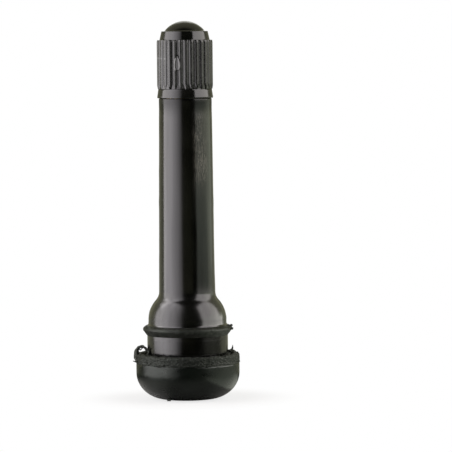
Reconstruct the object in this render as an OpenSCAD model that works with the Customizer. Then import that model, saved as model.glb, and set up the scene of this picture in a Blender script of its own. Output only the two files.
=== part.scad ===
// Snap-in tyre valve: a rubber body moulded round a brass stem, a sprung valve core
// screwed into the stem's mouth, and a ribbed dust cap with its sealing washer.
// Millimetres. +Z runs up the stem, and the origin is under the middle of the base.

/* [Rim groove] */
// Diameter of the neck that the rim hole squeezes
neck_d = 13.9; // [12.8:0.1:15]
// Width of the groove that holds the rim
groove_w = 3.8; // [2.5:0.1:5]
// How far the snap ridge stands out from the neck
ridge_out = 0.7; // [0.4:0.05:1]
// Height of the snap ridge
ridge_h = 1.8; // [1.4:0.1:2.4]
// Height of the ridge's widest point above its foot
ridge_crest = 1.1; // [0.9:0.1:1.2]
// Radius of the ridge's rounded crest
ridge_round = 0.45; // [0.3:0.05:0.55]

/* [Base] */
// Width of the flat face that meets the rim
seat_w = 1.05; // [0.8:0.05:1.6]
// Thickness of the sealing lip round that face
lip_w = 0.9; // [0.6:0.1:1.2]
// Height of the sealing lip above that face
lip_h = 0.7; // [0.5:0.1:1]
// Height of the straight land round the base, up to the top of the lip
land_h = 3.3; // [2.8:0.1:4.2]
// Height of the rounded underside
base_round_h = 4.6; // [3.8:0.1:5.6]
// Height of the moulding's parting line above the rounded underside
parting_h = 1.7; // [1:0.1:2]
// How far the parting line stands proud
parting_bead = 0.2; // [0.05:0.05:0.3]
// Diameter of the air hole through the rubber under the stem
port_d = 5.4; // [4.6:0.1:6]
// Width of the flat ring under the base
foot_ring_w = 1.2; // [0.8:0.1:1.8]

/* [Shoulder and sleeve] */
// How far the shoulder above the ridge is set in from the neck
shoulder_step = 0.25; // [0:0.05:0.5]
// Height of the shoulder's straight part
shoulder_h = 0.8; // [0.4:0.1:2]
// Radius of the rounded shoulder
shoulder_round = 5.2; // [4:0.1:6.5]
// Radius of the fillet where the shoulder runs into the sleeve
flare_fillet = 2.3; // [1.5:0.1:3.5]
// Thickness of the rubber round the threaded collar
sleeve_wall = 0.65; // [0.5:0.05:0.8]
// How much the sleeve widens on each side on its way down
sleeve_taper = 0.3; // [0.1:0.05:0.5]
// Radius of the sleeve's top edge
sleeve_round = 0.3; // [0.1:0.05:0.4]

/* [Brass stem] */
// Height of the stem's mouth above the underside of the base
stem_len = 61.5; // [56:0.5:75]
// Diameter over the cap thread
thread_d = 7.7; // [7.5:0.05:8]
// Length of thread that stands out of the rubber
thread_len = 9.9; // [9:0.1:11]
// Depth of the threaded collar inside the rubber
collar_depth = 1.2; // [0.8:0.1:2]
// Chamfer round the outside of the mouth
mouth_chamfer = 0.6; // [0.3:0.05:0.7]
// Diameter of the shank inside the rubber
shank_d = 6.2; // [5.8:0.1:6.8]
// Number of grip grooves round the shank
grip_count = 5; // [2:1:6]
// Width of a grip groove
grip_w = 1; // [0.8:0.1:1.4]
// Depth of a grip groove
grip_depth = 0.25; // [0.1:0.05:0.35]
// How far the anchoring foot stands out from the shank
foot_out = 1.2; // [0.8:0.1:1.8]
// Thickness of the foot
foot_h = 1.4; // [1:0.1:2]
// Height of the slope between foot and shank
foot_slope = 0.5; // [0.3:0.1:0.8]
// Thickness of the rubber under the foot
foot_cover = 1.8; // [1.2:0.1:2.4]
// Diameter of the air bore below the core
bore_d = 4.3; // [4.2:0.05:4.5]

/* [Core plug] */
// Diameter of the core's thread in the stem
core_thread_d = 5.2; // [5.1:0.05:5.5]
// Depth of the plug's top below the stem's mouth
plug_depth = 2.7; // [2.5:0.1:3.2]
// Length of the plug's threaded part
plug_len = 4.2; // [3.6:0.1:5]
// Height of the two-flat bridge on top of the plug
bridge_h = 2; // [1.5:0.1:2.5]
// Width of the bridge across its flats
bridge_w = 2.2; // [2:0.1:2.6]
// How far the bridge is set in from the thread
bridge_inset = 0.35; // [0.2:0.05:0.6]
// Thickness of the lip rolled in under the barrel's head
plug_lip = 0.4; // [0.3:0.05:0.6]

/* [Core barrel and gasket] */
// Wall of the barrel
barrel_wall = 0.4; // [0.35:0.05:0.5]
// Length of the barrel below the plug
barrel_len = 7.2; // [6.8:0.1:8.5]
// Height of the barrel's head
head_h = 0.9; // [0.7:0.1:1.2]
// How far the head stands out from the barrel
head_out = 0.18; // [0.14:0.02:0.24]
// Length of the air throat at the barrel's foot
throat_len = 1.2; // [1:0.1:1.6]
// Height of the barrel's tapered nose
nose_h = 0.8; // [0.5:0.1:1]
// How far the nose's seat rim is set in from the edge of the washer
rim_inset = 0.15; // [0.1:0.05:0.25]
// Distance from the plug down to the gasket
gasket_drop = 0.9; // [0.6:0.1:1.2]
// Height of the gasket
gasket_h = 2.2; // [1.6:0.1:2.6]
// Depth of the groove that holds the gasket
gasket_groove = 0.15; // [0.1:0.05:0.2]
// Width of the step between the core's thread and the gasket's taper
seat_step = 0.3; // [0.2:0.05:0.4]
// Length of the thread's run-out above the taper
thread_runout = 0.4; // [0.2:0.1:0.7]

/* [Core pin and spring] */
// Diameter of the pin
pin_d = 1; // [0.9:0.05:1.1]
// Depth of the pin's tip below the stem's mouth
pin_depth = 0.4; // [0.2:0.05:0.6]
// Diameter of the pin's head
pin_head_d = 1.7; // [1.5:0.05:2]
// Height of the pin's head
pin_head_h = 0.9; // [0.7:0.1:1]
// Radius of the head's top edge
pin_head_round = 0.35; // [0.1:0.05:0.5]
// How far the pin can be pressed
pin_travel = 1.2; // [0.8:0.1:1.2]
// Height of the pin's pressed ears
ear_h = 0.6; // [0.4:0.1:0.7]
// Thickness of the ears
ear_t = 0.5; // [0.3:0.05:0.7]
// How far the ears are set in from the outside of the spring
ear_inset = 0.1; // [0.05:0.05:0.15]
// Depth of the ears below the top of the barrel
ear_drop = 0.15; // [0.1:0.05:0.3]
// How far the rivet under the cup stands out from the pin
rivet_out = 0.3; // [0.2:0.05:0.5]
// Height of the rivet
rivet_h = 0.4; // [0.3:0.05:0.6]
// Thickness of the spring's wire
wire_d = 0.28; // [0.22:0.02:0.32]
// Number of turns in the spring
spring_turns = 9; // [7:1:11]

/* [Seat cup and washer] */
// Outside diameter of the cup
cup_d = 3.2; // [3:0.05:3.4]
// Height of the cup
cup_h = 2; // [1.6:0.1:2.4]
// Wall of the cup
cup_wall = 0.22; // [0.18:0.02:0.3]
// Floor of the cup
cup_floor = 0.4; // [0.3:0.05:0.6]
// How far the washer stands proud of the cup
washer_proud = 0.2; // [0.15:0.05:0.3]

/* [Dust cap] */
// Thinnest wall of the cap, between its bore and the roots of its ribs
cap_wall = 0.5; // [0.4:0.05:0.8]
// Depth of a grip rib
rib_depth = 0.35; // [0.2:0.05:0.5]
// Number of grip ribs
rib_count = 30; // [20:1:36]
// Share of the rib spacing that a rib's crest takes
rib_crest = 0.42; // [0.3:0.02:0.5]
// Share of the rib spacing that a rib's root takes
rib_root = 0.74; // [0.6:0.02:0.84]
// Height of the plain ring under the ribs
ring_h = 1.55; // [1.2:0.05:2]
// How much the ring tapers in on each side on its way up
ring_taper = 0.2; // [0.1:0.05:0.3]
// Height of the collar above the ribs
collar_h = 1.5; // [1.2:0.05:1.7]
// How far the collar is set in from the crests of the ribs
collar_step = 0.5; // [0.4:0.05:0.6]
// How much the collar tapers in on each side on its way up
collar_taper = 0.3; // [0.1:0.05:0.4]
// Width of the ledge between collar and dome
dome_ledge = 0.525; // [0.3:0.025:0.7]
// Height of the dome
dome_h = 1.75; // [1.4:0.05:2.2]
// Thickness of the roof between the washer and the collar's top
roof_t = 0.95; // [0.7:0.05:1.2]
// Diameter of the hollow under the dome
hollow_d = 4.8; // [4:0.1:5.2]
// Height of the hollow under the dome
hollow_h = 1.1; // [0.6:0.05:1.2]
// Lead-in chamfer at the cap's mouth
cap_lead = 0.3; // [0.2:0.05:0.4]
// Diameter of the sealing washer
seal_d = 6.6; // [6.3:0.05:6.9]
// Diameter of the hole in the sealing washer
seal_hole_d = 2.6; // [2.3:0.1:3]
// Thickness of the sealing washer
seal_t = 0.8; // [0.6:0.05:1]

/* [Clearances] */
// Gap round the cap's thread, and round the washer in the cap
cap_gap = 0.1; // [0.06:0.01:0.12]
// Gap between the cap and the top of the sleeve
cap_foot_gap = 0.2; // [0.1:0.05:0.4]
// Gap round the plug, and round the barrel's head in it
core_gap = 0.05; // [0.03:0.01:0.06]
// Gap for air round the pin in the plug
plug_air_gap = 0.2; // [0.15:0.05:0.3]
// Gap for air round the pin in the throat
throat_air_gap = 0.35; // [0.2:0.05:0.4]
// Gap between the pin and the spring
pin_spring_gap = 0.32; // [0.2:0.02:0.4]
// Gap between the spring and the barrel
spring_gap = 0.15; // [0.1:0.05:0.2]
// Gap for air round the barrel and the cup
chamber_gap = 0.25; // [0.2:0.05:0.35]
// Room left under the pin when it is pressed all the way
press_gap = 0.6; // [0.4:0.1:1]

/* [Hidden] */

turned = 96;        // sides of a turned piece as drawn
arc_steps = 10;     // straight steps in a rounded stretch of an outline
wire_sides = 8;     // sides of the spring's wire
turn_steps = 14;    // rings of wire in one turn of the spring
edge = 0.15;        // small broken edge on brass and plastic
overrun = 0.1;      // length of a cut past the face that it opens

rubber_colour = "#1c1c1b";
cap_colour = "#29292b";
brass_colour = "#c4a052";
steel_colour = "#a9adb0";
gasket_colour = "#a33a2a";

// Diameters of the rubber
base_d = neck_d + 2 * (seat_w + lip_w);
base_flat_d = port_d + 2 * foot_ring_w;
ridge_d = neck_d + 2 * ridge_out;
shoulder_d = neck_d - 2 * shoulder_step;
sleeve_top_d = thread_d + 2 * sleeve_wall;
sleeve_low_d = sleeve_top_d + 2 * sleeve_taper;

// Heights up the rubber
lip_top_z = base_round_h + land_h;
seat_z = lip_top_z - lip_h;
parting_z = base_round_h + parting_h;
ridge_z = seat_z + groove_w;
ridge_top_z = ridge_z + ridge_h;
round_z = ridge_top_z + shoulder_h;
flare_reach = shoulder_round + flare_fillet;
flare_turn = acos(1 - (shoulder_d - sleeve_low_d) / 2 / flare_reach);
sleeve_z = round_z + flare_reach * sin(flare_turn);
rubber_top_z = stem_len - thread_len;

// Brass stem
foot_d = shank_d + 2 * foot_out;
foot_top_z = foot_cover + foot_h;
collar_z = rubber_top_z - collar_depth;
grip_pitch = 2 * grip_w;

// Diameters of the core, from the pin outwards
spring_d = pin_d + 2 * (pin_spring_gap + wire_d);
ear_w = spring_d - 2 * ear_inset;
rivet_d = pin_d + 2 * rivet_out;
spring_bore_d = spring_d + 2 * spring_gap;
throat_d = pin_d + 2 * throat_air_gap;
barrel_d = spring_bore_d + 2 * barrel_wall;
head_d = barrel_d + 2 * head_out;
washer_d = cup_d - 2 * cup_wall;
rim_d = washer_d - 2 * rim_inset;
gasket_hole_d = barrel_d - 2 * gasket_groove;
chamber_d = max(barrel_d, cup_d) + 2 * chamber_gap;
taper_top_d = core_thread_d - 2 * seat_step;
plug_d = core_thread_d - 2 * core_gap;
bridge_d = plug_d - 2 * bridge_inset;

// Heights up the core, all from the stem's mouth
plug_top_z = stem_len - plug_depth;
plug_shoulder_z = plug_top_z - bridge_h;
plug_z = plug_shoulder_z - plug_len;
head_z = plug_z + plug_lip;
barrel_top_z = head_z + head_h;
barrel_z = plug_z - barrel_len;
throat_top_z = barrel_z + throat_len;
gasket_top_z = plug_z - gasket_drop;
gasket_z = gasket_top_z - gasket_h;
pin_tip_z = stem_len - pin_depth;
pin_head_z = pin_tip_z - pin_head_h;
ear_z = barrel_top_z - ear_drop - ear_h;
cup_top_z = barrel_z - washer_proud;
cup_z = cup_top_z - cup_h;
pin_z = cup_z - rivet_h;
chamber_z = pin_z - pin_travel - press_gap;

// Dust cap
cap_bore_d = thread_d + 2 * cap_gap;
cap_root_d = cap_bore_d + 2 * cap_wall;
cap_d = cap_root_d + 2 * rib_depth;
ring_top_d = cap_d - 2 * ring_taper;
collar_low_d = cap_d - 2 * collar_step;
collar_top_d = collar_low_d - 2 * collar_taper;
dome_d = collar_top_d - 2 * dome_ledge;
dome_radius = (pow(dome_d / 2, 2) + pow(dome_h, 2)) / (2 * dome_h);
seal_pocket_d = seal_d + 2 * cap_gap;
cap_z = rubber_top_z + cap_foot_gap;
ring_top_z = cap_z + ring_h;
roof_z = stem_len + seal_t;
collar_top_z = roof_z + roof_t;
rib_top_z = collar_top_z - collar_h;

// Points round an arc, or round part of an ellipse where the two radii differ
function arc(middle, radius_x, radius_z, from, to) = [
    for (step = [0 : arc_steps])
        let (turn = from + (to - from) * step / arc_steps)
        [middle[0] + radius_x * cos(turn), middle[1] + radius_z * sin(turn)]
];

function reversed(points) = [for (i = [len(points) - 1 : -1 : 0]) points[i]];

module turn_outline(points) {
    rotate_extrude($fn = turned) polygon(points);
}

module round_bar(diameter, z, height) {
    translate([0, 0, z]) cylinder(d = diameter, h = height, $fn = turned);
}

// Outside of the brass where the rubber is bonded to it, from the foot up
function bonded_outline() = concat(
    [
        [foot_d / 2, foot_cover],
        [foot_d / 2, foot_top_z],
        [shank_d / 2, foot_top_z + foot_slope]
    ],
    [for (i = [0 : grip_count - 1]) each grip_groove(sleeve_z + i * grip_pitch)],
    [
        [shank_d / 2, collar_z - (thread_d - shank_d) / 2],
        [thread_d / 2, collar_z],
        [thread_d / 2, rubber_top_z]
    ]
);

function grip_groove(z) = [
    [shank_d / 2, z],
    [shank_d / 2 - grip_depth, z + grip_depth],
    [shank_d / 2 - grip_depth, z + grip_w - grip_depth],
    [shank_d / 2, z + grip_w]
];

// Rounded underside, parting line and sealing lip
function base_outline() = concat(
    arc([base_flat_d / 2, base_round_h], (base_d - base_flat_d) / 2, base_round_h, -90, 0),
    [
        [base_d / 2, parting_z - parting_bead],
        [base_d / 2 + parting_bead, parting_z],
        [base_d / 2, parting_z + parting_bead]
    ],
    arc([base_d / 2 - lip_w / 2, lip_top_z - lip_w / 2], lip_w / 2, lip_w / 2, 0, 180),
    [[base_d / 2 - lip_w, seat_z]]
);

// Rim groove and snap ridge, which slopes gently below its crest and steeply above it
function groove_outline() = concat(
    [
        [neck_d / 2, seat_z],
        [neck_d / 2, ridge_z]
    ],
    arc([ridge_d / 2 - ridge_round, ridge_z + ridge_crest], ridge_round, ridge_round, -40, 60),
    [[shoulder_d / 2, ridge_top_z]]
);

// Shoulder, flare and the tapered sleeve up to the cap
function sleeve_outline() = concat(
    arc([shoulder_d / 2 - shoulder_round, round_z], shoulder_round, shoulder_round, 0, flare_turn),
    reversed(arc(
        [sleeve_low_d / 2 + flare_fillet, sleeve_z], flare_fillet, flare_fillet, 180, 180 + flare_turn
    )),
    arc(
        [sleeve_top_d / 2 - sleeve_round, rubber_top_z - sleeve_round],
        sleeve_round, sleeve_round, 0, 90
    )
);

module rubber_body() {
    color(rubber_colour)
        turn_outline(concat(
            base_outline(),
            groove_outline(),
            sleeve_outline(),
            reversed(bonded_outline()),
            [
                [port_d / 2, foot_cover],
                [port_d / 2, 0]
            ]
        ));
}

// Threaded mouth, taper seat for the gasket, core chamber and air bore, from the top down
function stem_bore_outline() = [
    [core_thread_d / 2 + edge, stem_len],
    [core_thread_d / 2, stem_len - edge],
    [core_thread_d / 2, gasket_top_z + thread_runout],
    [taper_top_d / 2, gasket_top_z],
    [chamber_d / 2, gasket_z],
    [chamber_d / 2, chamber_z],
    [bore_d / 2, chamber_z],
    [bore_d / 2, foot_cover]
];

module brass_stem() {
    color(brass_colour)
        turn_outline(concat(
            bonded_outline(),
            [
                [thread_d / 2, stem_len - mouth_chamfer],
                [thread_d / 2 - mouth_chamfer, stem_len]
            ],
            stem_bore_outline()
        ));
}

// Screwed plug with a two-flat bridge for the core tool, rolled in under the barrel's head
module core_plug() {
    color(brass_colour) difference() {
        union() {
            round_bar(plug_d, plug_z, plug_len);
            intersection() {
                round_bar(bridge_d, plug_z, plug_len + bridge_h);
                translate([-bridge_d / 2, -bridge_w / 2, plug_shoulder_z - overrun])
                    cube([bridge_d, bridge_w, bridge_h + overrun]);
            }
        }
        round_bar(pin_d + 2 * plug_air_gap, plug_z - overrun, plug_len + bridge_h + 2 * overrun);
        round_bar(head_d + 2 * core_gap, head_z, head_h + core_gap);
        round_bar(barrel_d + 2 * core_gap, plug_z - overrun, plug_lip + 2 * overrun);
    }
}

// Barrel with its head in the plug, a gasket groove, a spring chamber, a throat and a seat rim
module core_barrel() {
    color(brass_colour)
        turn_outline([
            [throat_d / 2, barrel_z],
            [rim_d / 2, barrel_z],
            [barrel_d / 2, barrel_z + nose_h],
            [barrel_d / 2, gasket_z],
            [gasket_hole_d / 2, gasket_z],
            [gasket_hole_d / 2, gasket_top_z],
            [barrel_d / 2, gasket_top_z],
            [barrel_d / 2, head_z],
            [head_d / 2, head_z],
            [head_d / 2, barrel_top_z],
            [spring_bore_d / 2, barrel_top_z],
            [spring_bore_d / 2, throat_top_z],
            [throat_d / 2, throat_top_z]
        ]);
}

// Tapered ring that seals the barrel in the stem
module barrel_gasket() {
    color(gasket_colour)
        turn_outline([
            [gasket_hole_d / 2, gasket_z],
            [chamber_d / 2, gasket_z],
            [taper_top_d / 2, gasket_top_z],
            [gasket_hole_d / 2, gasket_top_z]
        ]);
}

// Height of the wire's middle after some turns: close-wound first and last turns, open between
function coil_z(turns) =
    let (
        low = throat_top_z + wire_d / 2,
        high = ear_z - wire_d / 2,
        open_pitch = (high - low - 2 * wire_d) / (spring_turns - 2)
    )
    turns < 1 ? low + turns * wire_d :
    turns > spring_turns - 1 ? high - (spring_turns - turns) * wire_d :
    low + wire_d + (turns - 1) * open_pitch;

module core_spring() {
    rings = spring_turns * turn_steps;
    coil_r = (spring_d - wire_d) / 2;
    points = [
        for (ring = [0 : rings], side = [0 : wire_sides - 1])
            let (
                round_coil = 360 * ring / turn_steps,
                round_wire = 360 * side / wire_sides,
                reach = coil_r + wire_d / 2 * cos(round_wire)
            )
            [
                reach * cos(round_coil),
                reach * sin(round_coil),
                coil_z(ring / turn_steps) + wire_d / 2 * sin(round_wire)
            ]
    ];
    walls = [
        for (ring = [0 : rings - 1], side = [0 : wire_sides - 1])
            let (next = (side + 1) % wire_sides, low = ring * wire_sides, high = low + wire_sides)
            each [[low + side, high + next, low + next], [low + side, high + side, high + next]]
    ];
    first_end = [for (side = [0 : wire_sides - 1]) side];
    last_end = [for (side = [wire_sides - 1 : -1 : 0]) rings * wire_sides + side];
    color(steel_colour) polyhedron(points, concat(walls, [first_end, last_end]));
}

// Headed pin with two pressed ears that bear on the spring, riveted under the cup
module core_pin() {
    color(steel_colour) union() {
        turn_outline(concat(
            [
                [0, pin_z],
                [rivet_d / 2, pin_z + rivet_h / 2],
                [rivet_d / 2, cup_z],
                [pin_d / 2, cup_z],
                [pin_d / 2, pin_head_z],
                [pin_head_d / 2, pin_head_z]
            ],
            arc(
                [pin_head_d / 2 - pin_head_round, pin_tip_z - pin_head_round],
                pin_head_round, pin_head_round, 0, 90
            ),
            [[0, pin_tip_z]]
        ));
        intersection() {
            round_bar(ear_w, ear_z, ear_h);
            translate([-ear_w / 2, -ear_t / 2, ear_z]) cube([ear_w, ear_t, ear_h]);
        }
    }
}

module seat_cup() {
    color(brass_colour)
        turn_outline([
            [pin_d / 2, cup_z],
            [cup_d / 2 - edge, cup_z],
            [cup_d / 2, cup_z + edge],
            [cup_d / 2, cup_top_z],
            [washer_d / 2, cup_top_z],
            [washer_d / 2, cup_z + cup_floor],
            [pin_d / 2, cup_z + cup_floor]
        ]);
}

// Rubber washer in the cup, which shuts against the barrel's seat rim
module seat_washer() {
    color(rubber_colour)
        turn_outline([
            [pin_d / 2, cup_z + cup_floor],
            [washer_d / 2, cup_z + cup_floor],
            [washer_d / 2, cup_top_z],
            [rim_d / 2, barrel_z],
            [pin_d / 2, barrel_z]
        ]);
}

// Root and crest corners of every rib, all the way round
function ribbed_section() = [
    for (i = [0 : rib_count - 1], corner = [[-rib_root, 0], [-rib_crest, 1], [rib_crest, 1], [rib_root, 0]])
        let (
            turn = 360 / rib_count * (i + corner[0] / 2),
            reach = cap_root_d / 2 + rib_depth * corner[1]
        )
        [reach * cos(turn), reach * sin(turn)]
];

// Ribs with a small bevel at the top and a longer one where they run out into the ring
module cap_ribs() {
    intersection() {
        translate([0, 0, ring_top_z]) linear_extrude(rib_top_z - ring_top_z) polygon(ribbed_section());
        turn_outline([
            [0, ring_top_z],
            [cap_root_d / 2 + edge, ring_top_z],
            [cap_d / 2 + edge, ring_top_z + rib_depth],
            [cap_d / 2 + edge, rib_top_z - 2 * edge],
            [cap_d / 2 - edge, rib_top_z],
            [0, rib_top_z]
        ]);
    }
}

// Plain ring below the ribs, the core that carries them, then the collar and dome above them
function cap_outline() = concat(
    [
        [0, cap_z],
        [cap_d / 2 - edge, cap_z],
        [cap_d / 2, cap_z + edge],
        [ring_top_d / 2, ring_top_z],
        [cap_root_d / 2 - edge, ring_top_z],
        [cap_root_d / 2 - edge, rib_top_z],
        [collar_low_d / 2, rib_top_z],
        [collar_top_d / 2, collar_top_z - edge],
        [collar_top_d / 2 - edge, collar_top_z]
    ],
    arc(
        [0, collar_top_z + dome_h - dome_radius], dome_radius, dome_radius,
        asin((dome_radius - dome_h) / dome_radius), 90
    )
);

// Threaded bore, washer pocket and the hollow under the dome
function cap_hollow() = concat(
    [
        [0, cap_z - overrun],
        [cap_bore_d / 2 + cap_lead + overrun, cap_z - overrun],
        [cap_bore_d / 2, cap_z + cap_lead],
        [cap_bore_d / 2, stem_len - mouth_chamfer + cap_gap],
        [seal_pocket_d / 2, stem_len + cap_gap],
        [seal_pocket_d / 2, roof_z]
    ],
    arc([0, roof_z], hollow_d / 2, hollow_h, 0, 90)
);

module cap_shell() {
    color(cap_colour) difference() {
        union() {
            turn_outline(cap_outline());
            cap_ribs();
        }
        turn_outline(cap_hollow());
    }
}

module cap_seal() {
    color(rubber_colour)
        turn_outline([
            [seal_hole_d / 2, stem_len],
            [seal_d / 2, stem_len],
            [seal_d / 2, roof_z],
            [seal_hole_d / 2, roof_z]
        ]);
}

rubber_body();
brass_stem();
core_plug();
core_barrel();
barrel_gasket();
core_spring();
core_pin();
seat_cup();
seat_washer();
cap_shell();
cap_seal();
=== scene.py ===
import math

import bpy
import numpy as np
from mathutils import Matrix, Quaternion, Vector


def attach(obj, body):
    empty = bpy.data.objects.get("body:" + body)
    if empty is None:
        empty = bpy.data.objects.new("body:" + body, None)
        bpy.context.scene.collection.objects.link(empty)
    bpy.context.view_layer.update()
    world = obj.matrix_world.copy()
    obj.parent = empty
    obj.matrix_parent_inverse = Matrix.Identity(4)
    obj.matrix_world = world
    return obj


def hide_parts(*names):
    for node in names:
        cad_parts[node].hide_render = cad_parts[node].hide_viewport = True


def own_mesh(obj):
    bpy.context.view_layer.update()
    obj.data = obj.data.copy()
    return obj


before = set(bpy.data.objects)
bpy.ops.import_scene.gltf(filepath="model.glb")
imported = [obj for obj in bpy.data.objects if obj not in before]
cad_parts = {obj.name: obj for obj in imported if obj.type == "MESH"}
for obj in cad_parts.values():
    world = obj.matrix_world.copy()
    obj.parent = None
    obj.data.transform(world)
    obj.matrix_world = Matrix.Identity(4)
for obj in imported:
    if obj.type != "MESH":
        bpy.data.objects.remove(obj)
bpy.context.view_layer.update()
mm = 0.001
print("frame loaded with", len(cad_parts), "nodes")


# Small helpers for nodes

def feed(tree, node, values):
    for socket, value in values.items():
        if isinstance(value, bpy.types.NodeSocket):
            tree.links.new(value, node.inputs[socket])
        else:
            node.inputs[socket].default_value = value


def makeNode(tree, kind, values=None, **attributes):
    made = tree.nodes.new(kind)
    for name, value in attributes.items():
        setattr(made, name, value)
    feed(tree, made, values or {})
    return made


def calc(tree, operation, a, b=0.0, clamp=False):
    return makeNode(tree, "ShaderNodeMath", {0: a, 1: b}, operation=operation, use_clamp=clamp).outputs[0]


def times(tree, first, *others):
    for other in others:
        first = calc(tree, "MULTIPLY", first, other)
    return first


def plus(tree, first, *others):
    for other in others:
        first = calc(tree, "ADD", first, other)
    return first


def minus(tree, first, *others):
    for other in others:
        first = calc(tree, "SUBTRACT", first, other)
    return first


def ramp(tree, value, low, high, start=0.0, end=1.0, smooth=True):
    spread = makeNode(
        tree, "ShaderNodeMapRange",
        {"Value": value, "From Min": low, "From Max": high, "To Min": start, "To Max": end},
        interpolation_type="SMOOTHSTEP" if smooth else "LINEAR",
    )
    return spread.outputs["Result"]


def between(tree, value, start, full, fullEnd, end):
    # rises from start to full, and falls from fullEnd to end
    return times(tree, ramp(tree, value, start, full), ramp(tree, value, end, fullEnd))


def noise(tree, vector, scale, detail, roughness=0.5):
    values = {"Vector": vector, "Scale": scale, "Detail": detail, "Roughness": roughness}
    return makeNode(tree, "ShaderNodeTexNoise", values).outputs[0]


def splitVector(tree, vector):
    return makeNode(tree, "ShaderNodeSeparateXYZ", {0: vector}).outputs


def joinVector(tree, x=0.0, y=0.0, z=0.0):
    return makeNode(tree, "ShaderNodeCombineXYZ", {0: x, 1: y, 2: z}).outputs[0]


def lengthOf(tree, vector):
    return makeNode(tree, "ShaderNodeVectorMath", {0: vector}, operation="LENGTH").outputs["Value"]


def blendColour(tree, share, first, second):
    mix = makeNode(tree, "ShaderNodeMix", {"Factor": share}, data_type="RGBA")
    for index, colour in ((6, first), (7, second)):
        feed(tree, mix, {index: colour if isinstance(colour, bpy.types.NodeSocket) else (*colour, 1)})
    return mix.outputs[2]


def newGroup(name, kind, inputs, outputs):
    tree = bpy.data.node_groups.new(name, kind)
    for label, socket, value in inputs:
        made = tree.interface.new_socket(label, in_out="INPUT", socket_type="NodeSocket" + socket)
        if value is not None:
            made.default_value = value
    for label, socket in outputs:
        tree.interface.new_socket(label, in_out="OUTPUT", socket_type="NodeSocket" + socket)
    return tree, tree.nodes.new("NodeGroupInput").outputs, tree.nodes.new("NodeGroupOutput")


def newShaderGroup(name, sizes, outputs):
    inputs = [("Vector", "Vector", None)] + [(label, "Float", value) for label, value in sizes.items()]
    return newGroup(name, "ShaderNodeTree", inputs, [(label, "Float") for label in outputs])


def useGroup(tree, group, vector, values=None):
    return makeNode(tree, "ShaderNodeGroup", {"Vector": vector, **(values or {})}, node_tree=group).outputs


# Shader groups that several finishes share

def buildPlaceGroup():
    tree, given, put = newShaderGroup("valvePlace", {}, ["Radius", "Height", "Side", "Front"])
    x, y, z = splitVector(tree, given["Vector"])
    radius = lengthOf(tree, joinVector(tree, x, y))
    safe = calc(tree, "MAXIMUM", radius, 1e-6)
    side, front = calc(tree, "DIVIDE", x, safe), calc(tree, "DIVIDE", y, safe)
    feed(tree, put, {"Radius": radius, "Height": z, "Side": side, "Front": front})
    return tree


def buildGrainGroup():
    tree, given, put = newShaderGroup(
        "mouldGrain", {"Fine Size": 0.0002, "Broad Size": 0.004}, ["Fine", "Broad", "Height"]
    )
    fine = noise(tree, given["Vector"], calc(tree, "DIVIDE", 1.0, given["Fine Size"]), 3.0)
    broad = noise(tree, given["Vector"], calc(tree, "DIVIDE", 1.0, given["Broad Size"]), 2.0)
    height = plus(tree, fine, times(tree, broad, 0.6))
    feed(tree, put, {
        "Fine": ramp(tree, fine, 0.3, 0.7), "Broad": ramp(tree, broad, 0.32, 0.68), "Height": height,
    })
    return tree


def buildScuffGroup():
    tree, given, put = newShaderGroup(
        "scuffMarks", {"Size": 0.0004, "Stretch": 6.0, "Amount": 0.5}, ["Mask"]
    )
    x, y, z = splitVector(tree, given["Vector"])
    drawn = joinVector(tree, x, y, calc(tree, "DIVIDE", z, given["Stretch"]))
    streak = noise(tree, drawn, calc(tree, "DIVIDE", 1.0, given["Size"]), 4.0, 0.65)
    edge = minus(tree, 0.72, times(tree, given["Amount"], 0.25))
    feed(tree, put, {"Mask": ramp(tree, streak, edge, plus(tree, edge, 0.08))})
    return tree


def buildSpeckGroup():
    tree, given, put = newShaderGroup("dustSpecks", {"Spacing": 0.0006, "Dot": 0.16}, ["Mask"])
    cells = makeNode(
        tree, "ShaderNodeTexVoronoi",
        {"Vector": given["Vector"], "Scale": calc(tree, "DIVIDE", 1.0, given["Spacing"])},
    ).outputs
    chosen = makeNode(tree, "ShaderNodeSeparateColor", {0: cells["Color"]}).outputs[0]
    reach = times(tree, given["Dot"], ramp(tree, chosen, 0.55, 1.0))
    feed(tree, put, {"Mask": ramp(tree, minus(tree, reach, cells["Distance"]), 0.0, 0.05)})
    return tree


def buildTurnedGroup():
    tree, given, put = newShaderGroup("turnedRings", {"Pitch": 0.00006}, ["Ring", "Tarnish"])
    place = useGroup(tree, placeGroup, given["Vector"])
    along = joinVector(tree, place["Radius"], place["Height"])
    ring = noise(tree, along, calc(tree, "DIVIDE", 1.0, given["Pitch"]), 1.0)
    stain = noise(tree, given["Vector"], 700.0, 4.0)
    feed(tree, put, {"Ring": ring, "Tarnish": ramp(tree, stain, 0.42, 0.72)})
    return tree


placeGroup = buildPlaceGroup()
grainGroup = buildGrainGroup()
scuffGroup = buildScuffGroup()
speckGroup = buildSpeckGroup()
turnedGroup = buildTurnedGroup()


def startMaterial(name, fixed):
    material = bpy.data.materials.new(name)
    material.use_nodes = True
    tree = material.node_tree
    shader = tree.nodes["Principled BSDF"]
    feed(tree, shader, fixed)
    vector = makeNode(tree, "ShaderNodeTexCoord").outputs["Object"]
    return material, tree, shader, vector


def spreadOver(tree, share, low, high):
    return ramp(tree, share, 0.0, 1.0, low, high, False)


def finishSurface(tree, shader, colour, rough, height, bump):
    strength, distance = bump
    relief = makeNode(
        tree, "ShaderNodeBump", {"Strength": strength, "Distance": distance, "Height": height}
    ).outputs[0]
    feed(tree, shader, {"Base Color": colour, "Roughness": rough, "Normal": relief})


# Finishes; zones are heights, or places from -1 to 1 across (side) and from front to back (front)

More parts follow.
